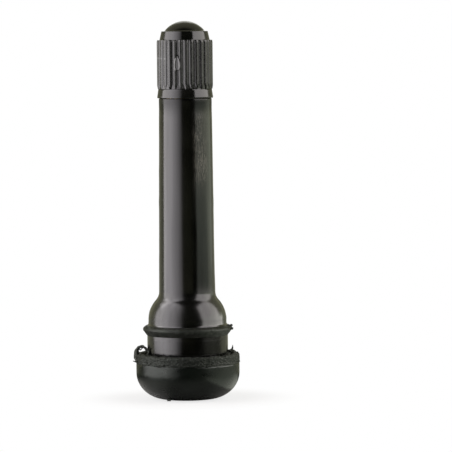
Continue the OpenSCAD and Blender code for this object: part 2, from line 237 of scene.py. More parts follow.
sleeveFinish = {
    "dark": (0.0007, 0.0008, 0.0004), "light": (0.0024, 0.0026, 0.0015), "scuff": (0.125, 0.117, 0.095),
    "specular": 0.64, "gloss": 0.11, "dull": 0.19, "endDull": 0.08, "flareDull": 0.09, "scuffDull": 0.16,
    "coat": 0.84, "thinCoat": 0.66, "coatRoughness": 0.20, "streaks": 900.0, "streakDraw": (1, 1, 0.06),
    # the coat's zone on the next line fades the gloss out under the cap: a painted shadow of the cap's skirt
    "capShadowZone": (0.0480, 0.0514), "endZone": (0.0496, 0.0514), "flareZone": (0.0128, 0.0134, 0.0182, 0.0200),
    "scuffZone": (0.0340, 0.0410, 0.0475, 0.0505), "scuffSide": (0.2, 0.5, 0.6, 0.9),
    "scuffFront": (0.6, -0.4), "scuffs": {"Size": 0.00022, "Stretch": 5.0, "Amount": 0.9},
    "grain": {"Fine Size": 0.00035, "Broad Size": 0.007}, "specks": {"Spacing": 0.0011, "Dot": 0.1},
    "speckShare": 0.2, "markShare": 0.8, "scuffRelief": 0.3, "bump": (0.10, 0.00003),
}


def makeSleeveRubber(name, s):
    material, tree, shader, vector = startMaterial(
        name, {"Specular IOR Level": s["specular"], "Coat Roughness": s["coatRoughness"]}
    )
    place = useGroup(tree, placeGroup, vector)
    grain = useGroup(tree, grainGroup, vector, s["grain"])
    scuff = useGroup(tree, scuffGroup, vector, s["scuffs"])
    specks = useGroup(tree, speckGroup, vector, s["specks"])
    # the gloss is streaked along the sleeve, and the coat fades out just under the cap as a painted shadow of
    # the cap's skirt
    drawn = makeNode(tree, "ShaderNodeVectorMath", {0: vector, 1: s["streakDraw"]}, operation="MULTIPLY")
    streak = ramp(tree, noise(tree, drawn.outputs[0], s["streaks"], 3.0), 0.36, 0.64, s["thinCoat"], 1.0)
    worn = ramp(tree, place["Height"], *s["capShadowZone"], s["coat"], 0.0)
    feed(tree, shader, {"Coat Weight": times(tree, worn, streak)})
    # rubbed patch on one side below the cap, fading down the sleeve
    patch = times(
        tree, between(tree, place["Side"], *s["scuffSide"]), ramp(tree, place["Front"], *s["scuffFront"]),
        between(tree, place["Height"], *s["scuffZone"]), ramp(tree, grain["Broad"], 0.1, 0.9, 0.35, 1.0),
    )
    rubbed = times(tree, ramp(tree, scuff["Mask"], 0.0, 1.0, 0.3, 1.0), patch)
    marks = calc(tree, "ADD", rubbed, times(tree, specks["Mask"], s["speckShare"]), True)
    plain = blendColour(tree, grain["Broad"], s["dark"], s["light"])
    colour = blendColour(tree, times(tree, marks, s["markShare"]), plain, s["scuff"])
    rough = plus(
        tree, spreadOver(tree, grain["Broad"], s["gloss"], s["dull"]),
        ramp(tree, place["Height"], *s["endZone"], 0.0, s["endDull"]),
        times(tree, between(tree, place["Height"], *s["flareZone"]), s["flareDull"]),
        times(tree, marks, s["scuffDull"]),
    )
    height = plus(tree, grain["Height"], times(tree, rubbed, s["scuffRelief"]))
    finishSurface(tree, shader, colour, rough, height, s["bump"])
    return material


flashFinish = {
    "dark": (0.0010, 0.0015, 0.0009), "light": (0.0090, 0.0105, 0.0080), "fleck": (0.07, 0.075, 0.066),
    "specular": 0.42, "tint": (0.92, 1.0, 0.90, 1), "smooth": 0.34, "rough": 0.62, "bump": (0.8, 0.00014),
    "grain": {"Fine Size": 0.00020, "Broad Size": 0.0011},
    "flecks": {"Size": 0.0003, "Stretch": 0.6, "Amount": 0.42}, "fleckShare": 0.6,
}
# the ridge's rubber is a lighter copy of the flash rubber: its lighter colour is a painted highlight for the
# light the ridge's top catches
ridgeLitFinish = {
    **flashFinish, "light": (0.025, 0.027, 0.022), "smooth": 0.30, "rough": 0.55, "bump": (0.5, 0.00014),
}
# lighter flash rubber for the parting fin, torn films and ridge tags: partly paler thin flash, partly a
# painted highlight where their edges catch the light, and its bright flecks are painted glints
frayedAndLitFinish = {
    **flashFinish, "dark": (0.006, 0.0065, 0.005), "light": (0.055, 0.058, 0.050),
    "fleck": (0.22, 0.22, 0.20), "smooth": 0.25,
}


def makeFlashRubber(name, s):
    material, tree, shader, vector = startMaterial(
        name, {"Specular IOR Level": s["specular"], "Specular Tint": s["tint"]}
    )
    grain = useGroup(tree, grainGroup, vector, s["grain"])
    flecks = useGroup(tree, scuffGroup, vector, s["flecks"])
    share = times(tree, grain["Fine"], plus(tree, times(tree, grain["Broad"], 0.7), 0.3))
    plain = blendColour(tree, share, s["dark"], s["light"])
    colour = blendColour(tree, times(tree, flecks["Mask"], s["fleckShare"]), plain, s["fleck"])
    rough = spreadOver(tree, grain["Fine"], s["smooth"], s["rough"])
    finishSurface(tree, shader, colour, rough, grain["Height"], s["bump"])
    return material


baseFinish = {
    "dark": (0.0006, 0.0018, 0.0008), "light": (0.0018, 0.0036, 0.0020), "speck": (0.06, 0.065, 0.055),
    "specular": 0.5, "tint": (0.94, 1.0, 0.94, 1), "gloss": 0.25, "dull": 0.35, "bump": (0.16, 0.00004),
    "grain": {"Fine Size": 0.00025, "Broad Size": 0.0035}, "specks": {"Spacing": 0.0013, "Dot": 0.1},
    "speckShare": 0.4,
}


def makeBaseRubber(name, s):
    material, tree, shader, vector = startMaterial(
        name, {"Specular IOR Level": s["specular"], "Specular Tint": s["tint"]}
    )
    grain = useGroup(tree, grainGroup, vector, s["grain"])
    specks = useGroup(tree, speckGroup, vector, s["specks"])
    plain = blendColour(tree, grain["Broad"], s["dark"], s["light"])
    colour = blendColour(tree, times(tree, specks["Mask"], s["speckShare"]), plain, s["speck"])
    rough = spreadOver(tree, grain["Broad"], s["gloss"], s["dull"])
    finishSurface(tree, shader, colour, rough, grain["Height"], s["bump"])
    return material


capFinish = {
    "dark": (0.0022, 0.0024, 0.0016), "light": (0.0050, 0.0050, 0.0040), "dust": (0.027, 0.0285, 0.0265),
    "worn": (0.06, 0.06, 0.058), "mark": (0.14, 0.14, 0.14),
    "specular": 1.0, "gloss": 0.12, "dull": 0.20, "ribDull": 0.10, "wornDull": 0.12, "bump": (0.06, 0.00003),
    "ribZone": (0.0533, 0.0537, 0.0615, 0.0618),
    "outside": (0.00425, 0.00440), "crest": (0.00468, 0.00480), "gate": (0.00481, 0.00487),   # radii
    "scratchHeight": 0.0582, "scratchSlope": -0.0005, "scratchHalf": (0.00016, 0.00004),
    "scratchSide": (-0.58, -0.66), "scratchFront": (0.0, -0.2), "dustAndLightSide": (0.5, 0.1),
    "grain": {"Fine Size": 0.0006, "Broad Size": 0.003},
    "scuffs": {"Size": 0.0005, "Stretch": 2.0, "Amount": 0.75},
    "scratchShare": 0.8, "scuffShare": 0.5, "wornShare": 0.6,
}


def makeCapPlastic(name, s):
    material, tree, shader, vector = startMaterial(name, {"Specular IOR Level": s["specular"]})
    place = useGroup(tree, placeGroup, vector)
    grain = useGroup(tree, grainGroup, vector, s["grain"])
    scuff = useGroup(tree, scuffGroup, vector, s["scuffs"])
    # handled ribs are dusty and their crests are rubbed; the dust film is also painted light, full on the
    # left and middle ribs and fading towards the right side, which stays darker
    outside = ramp(tree, place["Radius"], *s["outside"])
    ribs = times(tree, between(tree, place["Height"], *s["ribZone"]), outside)
    crest = times(tree, ribs, ramp(tree, place["Radius"], *s["crest"]))
    gate = times(tree, ribs, ramp(tree, place["Radius"], *s["gate"]))
    dusty = times(
        tree, ribs, ramp(tree, grain["Broad"], 0.0, 1.0, 0.5, 0.9),
        ramp(tree, place["Side"], *s["dustAndLightSide"], 0.15, 1.0),
    )
    # one scratch runs across the ribs beside the gate mark
    path = plus(tree, times(tree, place["Side"], s["scratchSlope"]), s["scratchHeight"])
    off = calc(tree, "ABSOLUTE", minus(tree, place["Height"], path))
    scratch = times(
        tree, ramp(tree, off, *s["scratchHalf"]), ramp(tree, place["Side"], *s["scratchSide"]),
        ramp(tree, place["Front"], *s["scratchFront"]), crest,
    )
    marked = calc(tree, "ADD", gate, times(tree, scratch, s["scratchShare"]), True)
    worn = calc(tree, "ADD", times(tree, crest, scuff["Mask"], s["scuffShare"]), marked, True)
    colour = blendColour(tree, grain["Broad"], s["dark"], s["light"])
    colour = blendColour(tree, dusty, colour, s["dust"])
    colour = blendColour(tree, times(tree, worn, s["wornShare"]), colour, s["worn"])
    colour = blendColour(tree, marked, colour, s["mark"])
    rough = plus(
        tree, spreadOver(tree, grain["Broad"], s["gloss"], s["dull"]), times(tree, ribs, s["ribDull"]),
        times(tree, worn, s["wornDull"]),
    )
    finishSurface(tree, shader, colour, rough, grain["Height"], s["bump"])
    return material


metalFinishes = {
    "stemBrass": {
        "bright": (0.62, 0.43, 0.17), "dull": (0.36, 0.23, 0.09), "rough": (0.22, 0.42), "pitch": 0.00007,
    },
    "coreBrass": {
        "bright": (0.66, 0.48, 0.20), "dull": (0.45, 0.30, 0.12), "rough": (0.18, 0.34), "pitch": 0.00005,
    },
    "springSteel": {
        "bright": (0.50, 0.50, 0.50), "dull": (0.32, 0.31, 0.30), "rough": (0.25, 0.40), "pitch": 0.00003,
    },
    "pinSteel": {
        "bright": (0.58, 0.57, 0.53), "dull": (0.38, 0.36, 0.32), "rough": (0.20, 0.36), "pitch": 0.00004,
    },
}


def makeTurnedMetal(name, s):
    material, tree, shader, vector = startMaterial(name, {"Metallic": 1.0})
    turned = useGroup(tree, turnedGroup, vector, {"Pitch": s["pitch"]})
    colour = blendColour(tree, turned["Tarnish"], s["bright"], s["dull"])
    rough = spreadOver(tree, turned["Tarnish"], *s["rough"])
    finishSurface(tree, shader, colour, rough, turned["Ring"], (0.25, 0.00001))
    return material


softFinishes = {
    "gasketPlastic": {"dark": (0.30, 0.035, 0.02), "light": (0.42, 0.06, 0.04), "rough": (0.38, 0.5)},
    "washerRubber": {"dark": (0.008, 0.008, 0.008), "light": (0.022, 0.022, 0.021), "rough": (0.55, 0.75)},
}


def makeSoftPlastic(name, s):
    material, tree, shader, vector = startMaterial(name, {"Specular IOR Level": 0.4})
    grain = useGroup(tree, grainGroup, vector, {"Fine Size": 0.00015, "Broad Size": 0.0012})
    colour = blendColour(tree, grain["Broad"], s["dark"], s["light"])
    rough = spreadOver(tree, grain["Fine"], *s["rough"])
    finishSurface(tree, shader, colour, rough, grain["Height"], (0.2, 0.00002))
    return material


sleeveRubber = makeSleeveRubber("sleeveRubber", sleeveFinish)
flashRubber = makeFlashRubber("flashRubber", flashFinish)
ridgeLitRubber = makeFlashRubber("ridgeLitRubber", ridgeLitFinish)
frayedAndLitRubber = makeFlashRubber("frayedAndLitRubber", frayedAndLitFinish)
baseRubber = makeBaseRubber("baseRubber", baseFinish)
capPlastic = makeCapPlastic("capPlastic", capFinish)
metals = {name: makeTurnedMetal(name, finish) for name, finish in metalFinishes.items()}
softParts = {name: makeSoftPlastic(name, finish) for name, finish in softFinishes.items()}
print("finishes made:", len(bpy.data.materials))


# Small helpers for meshes, all in millimetres until the mesh is made

def lumps(points, size, seed):
    # smooth random bumps from -1 to 1, the same on every run
    cells = points / size
    base = np.floor(cells).astype(np.int64)
    part = cells - base
    part = part * part * (3 - 2 * part)
    total = np.zeros(points.shape[:-1])
    for corner in np.ndindex(2, 2, 2):
        spot = base + np.array(corner)
        mixed = spot[..., 0] * 73856093 + spot[..., 1] * 19349663 + spot[..., 2] * 83492791 + seed * 6542989
        mixed = (mixed ^ (mixed >> 13)) * 1274126177
        level = ((mixed ^ (mixed >> 16)) & 0xFFFF) / 32767.5 - 1
        total += level * np.prod(np.where(corner, part, 1 - part), axis=-1)
    return total


def ragged(points, layers):
    # bumps of several sizes: the amount, size and seed of each
    return sum(amount * lumps(points, size, seed) for amount, size, seed in layers)


def drawnLumps(points, draw, size, seed):
    return lumps(points * np.array(draw), size, seed)


def ease(value, low, high):
    part = np.clip((value - low) / (high - low), 0, 1)
    return part * part * (3 - 2 * part)


def hump(value, middle, width):
    return np.exp(-((value - middle) / width) ** 2)


def turnFrom(turn, middle):
    return np.angle(np.exp(1j * (turn - middle)))


def near(turn, middle, width):
    return hump(turnFrom(turn, middle), 0, width)


def straight(start, end, steps):
    return [(start[0] + (end[0] - start[0]) * i / steps, start[1] + (end[1] - start[1]) * i / steps)
            for i in range(steps)]


def arc(middle, radiusX, radiusZ, start, end, steps):
    turns = [math.radians(start + (end - start) * i / steps) for i in range(steps + 1)]
    return [(middle[0] + radiusX * math.cos(t), middle[1] + radiusZ * math.sin(t)) for t in turns]


def turnsOf(sides):
    return np.arange(sides) * 2 * np.pi / sides


def spun(radius, height, turn):
    x, y = radius * np.cos(turn), radius * np.sin(turn)
    return np.stack([x, y, np.broadcast_to(height, x.shape)], axis=-1)


def ringFaces(rows, sides, closeRows=True, closeSides=True):
    i = np.arange(rows if closeRows else rows - 1)[:, None]
    j = np.arange(sides if closeSides else sides - 1)[None, :]
    up, on = (i + 1) % rows, (j + 1) % sides
    return np.stack([i * sides + j, i * sides + on, up * sides + on, up * sides + j], axis=-1).reshape(-1, 4)


def newObject(name, corners, faces):
    mesh = bpy.data.meshes.new(name)
    mesh.from_pydata(corners, [], faces)
    made = bpy.data.objects.new(name, mesh)
    bpy.context.scene.collection.objects.link(made)
    return made


def newPiece(name, points, faces):
    return newObject(name, (points.reshape(-1, 3) * mm).tolist(), [list(face) for face in faces])


def settlePiece(piece, sharp, body, nodes=()):
    mesh = piece.data
    mesh.validate()
    mesh.polygons.foreach_set("use_smooth", [True] * len(mesh.polygons))
    mesh.set_sharp_from_angle(angle=math.radians(sharp))
    mesh.update()
    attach(piece, body)
    if nodes:
        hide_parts(*nodes)
    return piece


def makeRubberPiece(name, points, faces, materials, sharp, nodes=(), faceMaterial=None):
    piece = newPiece(name, points, faces)
    for material in materials:
        piece.data.materials.append(material)
    if faceMaterial is not None:
        piece.data.polygons.foreach_set("material_index", faceMaterial.astype(np.int32))
    return settlePiece(piece, sharp, "valve", nodes)


def turnFacesOut(piece):
    # a closed shell of positive volume faces outwards
    mesh = piece.data
    mesh.calc_loop_triangles()
    corners = np.array([[mesh.vertices[v].co[:] for v in t.vertices] for t in mesh.loop_triangles])
    volume = np.einsum("ij,ij->i", corners[:, 0], np.cross(corners[:, 1], corners[:, 2])).sum()
    if volume < 0:
        mesh.flip_normals()


def bakeTree(piece, tree, values):
    modifier = piece.modifiers.new(tree.name, "NODES")
    modifier.node_group = tree
    for item in tree.interface.items_tree:
        if item.in_out == "INPUT" and item.name in values:
            modifier[item.identifier] = values[item.name]
    shown = piece.evaluated_get(bpy.context.evaluated_depsgraph_get())
    mesh = bpy.data.meshes.new_from_object(shown)
    piece.modifiers.clear()
    old = piece.data
    piece.data = mesh
    bpy.data.meshes.remove(old)
    mesh.name = piece.name


# Geometry trees

def newShapeTree(name, sizes):
    inputs = [("Geometry", "Geometry", None)]
    inputs += [(label, "Int" if isinstance(value, int) else "Float", value) for label, value in sizes.items()]
    inputs.append(("Finish", "Material", None))
    return newGroup(name, "GeometryNodeTree", inputs, [("Geometry", "Geometry")])


def endShapeTree(tree, given, put, shape, weld=None):
    shape = makeNode(tree, "GeometryNodeRealizeInstances", {0: shape}).outputs[0]
    if weld is not None:
        merge = makeNode(tree, "GeometryNodeMergeByDistance", {"Geometry": shape, "Distance": weld})
        shape = merge.outputs[0]
    painted = makeNode(tree, "GeometryNodeSetMaterial", {"Geometry": shape, "Material": given["Finish"]})
    feed(tree, put, {"Geometry": painted.outputs[0]})
    return tree


def buildRepeatTree():
    tree, given, put = newShapeTree("repeatRound", {"Count": 30, "Weld": 1e-6})
    points = makeNode(tree, "GeometryNodePoints", {"Count": given["Count"]}).outputs[0]
    index = makeNode(tree, "GeometryNodeInputIndex").outputs[0]
    turn = times(tree, index, calc(tree, "DIVIDE", 2 * math.pi, given["Count"]))
    copies = makeNode(
        tree, "GeometryNodeInstanceOnPoints",
        {"Points": points, "Instance": given["Geometry"], "Rotation": joinVector(tree, z=turn)},
    ).outputs[0]
    return endShapeTree(tree, given, put, copies, given["Weld"])


def buildThreadTree():
    tree, given, put = newShapeTree("threadRelief", {
        "Pitch": 0.00079375, "Depth": 0.0004, "Radius": 0.00385, "Reach": 0.00002, "Bottom": 0.0, "Top": 0.1,
    })
    pitch, bottom, top = given["Pitch"], given["Bottom"], given["Top"]
    x, y, z = splitVector(tree, makeNode(tree, "GeometryNodeInputPosition").outputs[0])
    flat = joinVector(tree, x, y)
    outward = makeNode(tree, "ShaderNodeVectorMath", {0: flat}, operation="NORMALIZE").outputs[0]
    turn = calc(tree, "DIVIDE", calc(tree, "ARCTAN2", y, x), 2 * math.pi)
    phase = calc(tree, "FRACT", minus(tree, calc(tree, "DIVIDE", z, pitch), turn))
    wave = calc(tree, "ABSOLUTE", minus(tree, times(tree, phase, 2.0), 1.0))
    flank = ramp(tree, wave, 0.14, 0.86, 0.0, 1.0, False)
    off = calc(tree, "ABSOLUTE", minus(tree, lengthOf(tree, flat), given["Radius"]))
    onWall = calc(tree, "LESS_THAN", off, given["Reach"])
    inside = between(tree, z, bottom, plus(tree, bottom, pitch), minus(tree, top, pitch), top)
    push = makeNode(
        tree, "ShaderNodeVectorMath",
        {0: outward, "Scale": times(tree, inside, flank, onWall, given["Depth"])}, operation="SCALE",
    ).outputs[0]
    moved = makeNode(tree, "GeometryNodeSetPosition", {"Geometry": given["Geometry"], "Offset": push})
    return endShapeTree(tree, given, put, moved.outputs[0])


def buildCoilTree():
    tree, given, put = newShapeTree("coilWire", {
        "Turns": 9.0, "Coil Radius": 0.001, "Wire Radius": 0.00014, "Bottom": 0.0, "Top": 0.006,
    })
    turns, coil, wireRadius = given["Turns"], given["Coil Radius"], given["Wire Radius"]
    spiral = makeNode(
        tree, "GeometryNodeCurveSpiral",
        {"Resolution": 28, "Rotations": turns, "Start Radius": coil, "End Radius": coil, "Height": 0.0},
    ).outputs[0]
    along = times(tree, makeNode(tree, "GeometryNodeSplineParameter").outputs["Factor"], turns)
    # the first and last turns lie close, and the rest share what is left
    wire = times(tree, wireRadius, 2.0)
    openTurns = minus(tree, turns, 2.0)
    room = minus(tree, given["Top"], given["Bottom"], times(tree, wire, 3.0))
    first = calc(tree, "MINIMUM", along, 1.0)
    middle = calc(tree, "MINIMUM", calc(tree, "MAXIMUM", minus(tree, along, 1.0), 0.0), openTurns)
    last = calc(tree, "MAXIMUM", minus(tree, along, openTurns, 1.0), 0.0)
    lift = plus(
        tree, times(tree, plus(tree, first, last), wire),
        times(tree, middle, calc(tree, "DIVIDE", room, openTurns)),
    )
    height = plus(tree, given["Bottom"], wireRadius, lift)
    raised = makeNode(
        tree, "GeometryNodeSetPosition", {"Geometry": spiral, "Offset": joinVector(tree, z=height)}
    ).outputs[0]
    section = makeNode(
        tree, "GeometryNodeCurvePrimitiveCircle", {"Resolution": 12, "Radius": wireRadius}, mode="RADIUS"
    ).outputs[0]
    wireMesh = makeNode(
        tree, "GeometryNodeCurveToMesh", {"Curve": raised, "Profile Curve": section, "Fill Caps": True}
    ).outputs[0]
    return endShapeTree(tree, given, put, wireMesh)


repeatTree = buildRepeatTree()
threadTree = buildThreadTree()
coilTree = buildCoilTree()


def cutThread(piece, finish, **sizes):
    lengths = {name.capitalize(): size * mm for name, size in sizes.items()}
    bakeTree(piece, threadTree, {**lengths, "Reach": 0.005 * mm, "Finish": finish})


# Rubber body: one turned outline, with torn rings over its band and ridge

rubberBody = {
    "sides": 224, "port": 2.7, "flat": 3.9, "base": 8.9, "baseRound": 4.6, "parting": 6.3, "inset": 0.2,
    "hollow": 0.34, "hollowEdge": 0.06, "undercut": 0.13, "lipTop": 7.9, "lipWidth": 0.9, "seat": 7.2,
    "neck": 6.95, "ridgeTop": 12.8, "ridgeFoot": ((0.16, 0.02), (0.08, 0.09), (0.045, 0.2), (0.035, 0.3)),
    "shoulder": 6.7, "shoulderTop": 13.6, "shoulderRound": 5.2, "flareFillet": 2.3,
    "sleeveLow": 4.8, "sleeveTop": 4.5, "top": 51.77, "topRound": 0.15,
    # bonded to the brass, so it is only seen in section
    "bond": ((3.85, 50.4), (3.1, 49.65), (3.1, 30.0), (3.1, 3.7), (4.3, 3.2), (4.3, 1.8), (2.7, 1.8)),
    "sleeveWave": 0.028, "sleeveFrom": (14, 22),
    "baseWave": 0.01, "baseFrom": (0.3, 1.5), "baseTo": (5.0, 6.2),
    # waist and swell under the cap, and the line round the neck: height, width and rise
    "bands": ((49.7, 0.9, -0.02), (51.5, 0.5, 0.026), (10.35, 0.06, 0.008)),
    "seam": 0.04, "seamHalf": 0.022, "seamLow": (13.2, 14.0), "seamHigh": (51.0, 51.5),
}


def rubberOutline(s):
    base, parting, seat, neck = s["base"], s["parting"], s["seat"], s["neck"]
    shoulder, top, topRound = s["shoulder"], s["top"], s["topRound"]
    crown, fillet = s["shoulderRound"], s["flareFillet"]
    flare = math.degrees(math.acos(1 - (shoulder - s["sleeveLow"]) / (crown + fillet)))
    sleeveFoot = s["shoulderTop"] + (crown + fillet) * math.sin(math.radians(flare))
    bandSkin, lipSkin = base - s["inset"], s["lipTop"] - s["inset"]
    lipInside = base - s["lipWidth"] + s["inset"]
    hollowLow, hollowTop = parting - s["hollow"], parting - s["hollowEdge"]
    ridgeFoot = [(shoulder + out, s["ridgeTop"] + up) for out, up in s["ridgeFoot"]]
    topMiddle = (s["sleeveTop"] - topRound, top - topRound)
    gloss, satin, matt = 0, 1, 2
    parts = [
        (satin, straight((s["port"], 0), (s["flat"], 0), 6)),
        (satin, arc((s["flat"], s["baseRound"]), base - s["flat"], s["baseRound"], -90, 0, 36)),
        (satin, straight((base, s["baseRound"] + 0.15), (base, hollowLow), 10)),
        (satin, straight((base, hollowLow), (base, hollowTop), 8)),
        (satin, [(base, hollowTop), (bandSkin, parting), (bandSkin, lipSkin)]),
        (matt, [(lipInside, lipSkin)] + straight((lipInside, seat), (neck, seat), 6)),
        (gloss, straight((neck, seat), (neck, s["ridgeTop"] - 0.35), 52)),
        (gloss, [(neck - 0.02, s["ridgeTop"] - 0.2)] + ridgeFoot[:-1]),
        (gloss, straight(ridgeFoot[-1], (shoulder, s["shoulderTop"]), 5)),
        (gloss, arc((shoulder - crown, s["shoulderTop"]), crown, crown, 0, flare, 30)),
        (gloss, arc((s["sleeveLow"] + fillet, sleeveFoot), fillet, fillet, 180 + flare, 180, 22)[1:]),
        (gloss, straight((s["sleeveLow"], sleeveFoot), (s["sleeveTop"], topMiddle[1]), 100)[1:]),
        (gloss, arc(topMiddle, topRound, topRound, 0, 90, 8)),
        (gloss, [(s["bond"][0][0], top), *s["bond"]]),
    ]
    points = np.array([p for _, stretch in parts for p in stretch])
    finishes = np.array([finish for finish, stretch in parts for _ in stretch])
    return points, finishes


def buildRubberBody(s):
    outline, finishes = rubberOutline(s)
    rows, sides = len(outline), s["sides"]
    r, z = outline[:, 0:1], outline[:, 1:2]
    turn = turnsOf(sides)
    points = spun(r, z, turn)
    outer = np.ones((rows, 1))
    outer[-len(s["bond"]) - 1:] = 0
    # the sleeve and the base are a little uneven
    push = s["sleeveWave"] * outer * ease(z, *s["sleeveFrom"]) * drawnLumps(points, (1, 1, 0.45), 4.0, 6)
    for height, width, rise in s["bands"]:
        push += rise * outer * hump(z, height, width)
    onBase = outer * ease(z, *s["baseFrom"]) * (1 - ease(z, *s["baseTo"]))
    push += s["baseWave"] * onBase * lumps(points, 1.6, 7)
    # torn hollow in places under the parting line
    under = ease(z, s["parting"] - s["hollow"], s["parting"] - 2 * s["hollowEdge"])
    under = under * (z < s["parting"]) * (r > s["base"] - 0.01)
    push -= s["undercut"] * under * np.clip(0.35 + drawnLumps(points, (0.6, 0.6, 0.1), 0.5, 17), 0, 1)
    # two upright seams where the mould closed, with bits of flash left on them
    seams = near(turn, 0, s["seamHalf"]) + near(turn, np.pi, s["seamHalf"])
    bits = 0.6 + 0.7 * np.clip(1.3 * drawnLumps(points, (0.2, 0.2, 1.0), 1.7, 27), 0, 1)
    push += s["seam"] * seams * bits * outer * ease(z, *s["seamLow"]) * (1 - ease(z, *s["seamHigh"]))
    points = points + spun(1.0, 0.0, turn) * push[..., None]
    return makeRubberPiece(
        "rubberBody", points, ringFaces(rows, sides), [sleeveRubber, baseRubber, flashRubber], 50,
        ["rubber_body"], np.repeat(finishes, sides),
    )


def buildTornRing(name, outline, sides, finish, height, lift=None):
    # a closed ring whose skin is pushed in and out along its own outline
    outline = np.array(outline)
    r, z = outline[:, 0:1], outline[:, 1:2]
    turn = turnsOf(sides)[None, :]
    points = spun(r, z, turn)
    slope = np.roll(outline, -1, axis=0) - np.roll(outline, 1, axis=0)
    slope /= np.linalg.norm(slope, axis=1, keepdims=True)
    outward = spun(slope[:, 1:2], -slope[:, 0:1], turn)
    points = points + height(points, r, z, turn)[..., None] * outward
    if lift is not None:
        points[..., 2] += lift(points, r, z, turn)
    return makeRubberPiece(name, points, ringFaces(len(outline), sides), [finish], 70)


tornBand = {
    "sides": 880, "outer": 8.9, "rootLow": 8.55, "rootHigh": 8.4, "bottom": 6.2, "seat": 7.2,
    "lipTop": 7.9, "lipHalf": 0.45, "lump": 0.11, "lumps": ((0.55, 0.55, 1), (0.4, 0.26, 2), (0.3, 0.13, 3)),
    "line": 6.38, "lineHalf": 0.24, "streak": 0.11, "pit": 0.4,
    "lip": 0.13, "lipLumps": ((0.6, 1.6, 8), (0.5, 0.6, 9), (0.3, 0.25, 10)),
    "dip": 0.06, "dipTurn": 3.3, "dipHalf": 0.3,
}


def buildTornBand(s):
    outer, bottom, seat, half = s["outer"], s["bottom"], s["seat"], s["lipHalf"]
    middle = (outer - half, s["lipTop"] - half)
    inside = middle[0] - half
    outline = [(s["rootLow"], bottom + 0.1), (outer - 0.06, bottom - 0.05)]
    outline += straight((outer, bottom), (outer, middle[1]), 22)
    outline += arc(middle, half, half, 0, 180, 20)
    outline += [(inside, seat + 0.1), (inside + 0.1, seat - 0.1), (s["rootHigh"], seat - 0.3)]

    def height(points, r, z, turn):
        shown = (r > inside - 0.05) * ((r > outer - 0.3) | (z > seat + 0.2))
        skin = shown * ease(z, bottom - 0.04, bottom + 0.1)
        line = hump(z, s["line"], s["lineHalf"])
        push = s["lump"] * ragged(points, s["lumps"])
        push = push + s["streak"] * line * drawnLumps(points, (0.28, 0.28, 3.0), 0.5, 4)
        pits = np.clip(drawnLumps(points, (0.7, 0.7, 1.6), 0.5, 5) - 0.5, 0, 1)
        return skin * (push - s["pit"] * (0.25 + line) * pits)

    def lift(points, r, z, turn):
        lip = ease(z, seat + 0.15, s["lipTop"] - 0.05) * (r > inside - 0.05)
        torn = s["lip"] * ragged(spun(middle[0], 0.0, turn), s["lipLumps"])
        return lip * (torn - s["dip"] * near(turn, s["dipTurn"], s["dipHalf"]))

    return buildTornRing("tornBand", outline, s["sides"], flashRubber, height, lift)


snapRidge = {
    "sides": 720, "neck": 6.95, "low": 11.0, "top": 12.8, "outer": 7.65, "round": 0.45, "crest": 12.1,
    "shoulder": 6.78, "rootLow": 6.7, "rootHigh": 6.6,
    "lump": 0.075, "lumps": ((0.6, 0.7, 11), (0.4, 0.28, 12), (0.3, 0.13, 13)),
    "tornTurn": -0.1, "tornHalf": 0.22, "tornRise": (11.6, 12.2), "torn": 0.28,
}


def buildSnapRidge(s):
    neck, low, top, shoulder = s["neck"], s["low"], s["top"], s["shoulder"]
    crest = arc((s["outer"] - s["round"], s["crest"]), s["round"], s["round"], -40, 60, 14)
    outline = [(s["rootLow"], low + 0.3), (neck - 0.05, low)]
    outline += straight((neck + 0.03, low + 0.03), crest[0], 10) + crest
    outline += straight(crest[-1], (shoulder, top), 8)[1:]
    outline += [(shoulder - 0.1, top - 0.02), (s["rootHigh"], top - 0.3)]

    def height(points, r, z, turn):
        skin = (r > neck + 0.01) * ease(z, low, low + 0.2)
        end = near(turn, s["tornTurn"], s["tornHalf"]) * ease(z, *s["tornRise"])
        push = s["lump"] * ragged(points, s["lumps"])
        return skin * (push + s["torn"] * end * (lumps(points, 0.5, 14) - 0.25))

    return buildTornRing("snapRidge", outline, s["sides"], ridgeLitRubber, height)


partingFlash = {
    "sides": 900, "inner": 8.72, "skin": 8.84, "outer": 8.9, "height": 6.33, "thick": 0.12, "edge": 0.04,
    "mean": 0.22, "tearFrom": 0.04, "rootSway": 0.6,
    "tears": ((0.6, 0.5, 21), (0.6, 1.7, 22), (0.3, 0.2, 24)), "sways": ((0.13, 1.1, 23), (0.05, 0.35, 25)),
    "spurTurn": 3.12, "spurHalf": 0.03, "spur": 0.66, "rise": 0.24,
}


def buildPartingFlash(s):
    turn = turnsOf(s["sides"])
    ring = spun(s["outer"], 0.0, turn)
    torn = np.clip(ragged(ring, s["tears"]) - s["tearFrom"], 0, 1)
    spur = near(turn, s["spurTurn"], s["spurHalf"])
    reach = s["skin"] + s["mean"] * torn + s["spur"] * spur
    sway = ragged(ring, s["sways"]) + s["rise"] * spur
    rootHeight, edgeHeight = s["height"] + s["rootSway"] * sway, s["height"] + sway
    half, edge = s["thick"] / 2, s["edge"] / 2
    inner = np.full_like(turn, s["inner"])
    rows = [(inner, rootHeight - half), (reach, edgeHeight - edge), (reach, edgeHeight + edge),
            (inner, rootHeight + half)]
    points = np.stack([spun(r, z, turn) for r, z in rows])
    return makeRubberPiece("partingFlash", points, ringFaces(4, s["sides"]), [frayedAndLitRubber], 40)


filmMesh = {
    "steps": 8, "lanes": 18, "blurs": 6, "widthUneven": 0.4, "gaugeUneven": 0.3,
    "lump": 0.06, "lumpSize": 0.3,
}


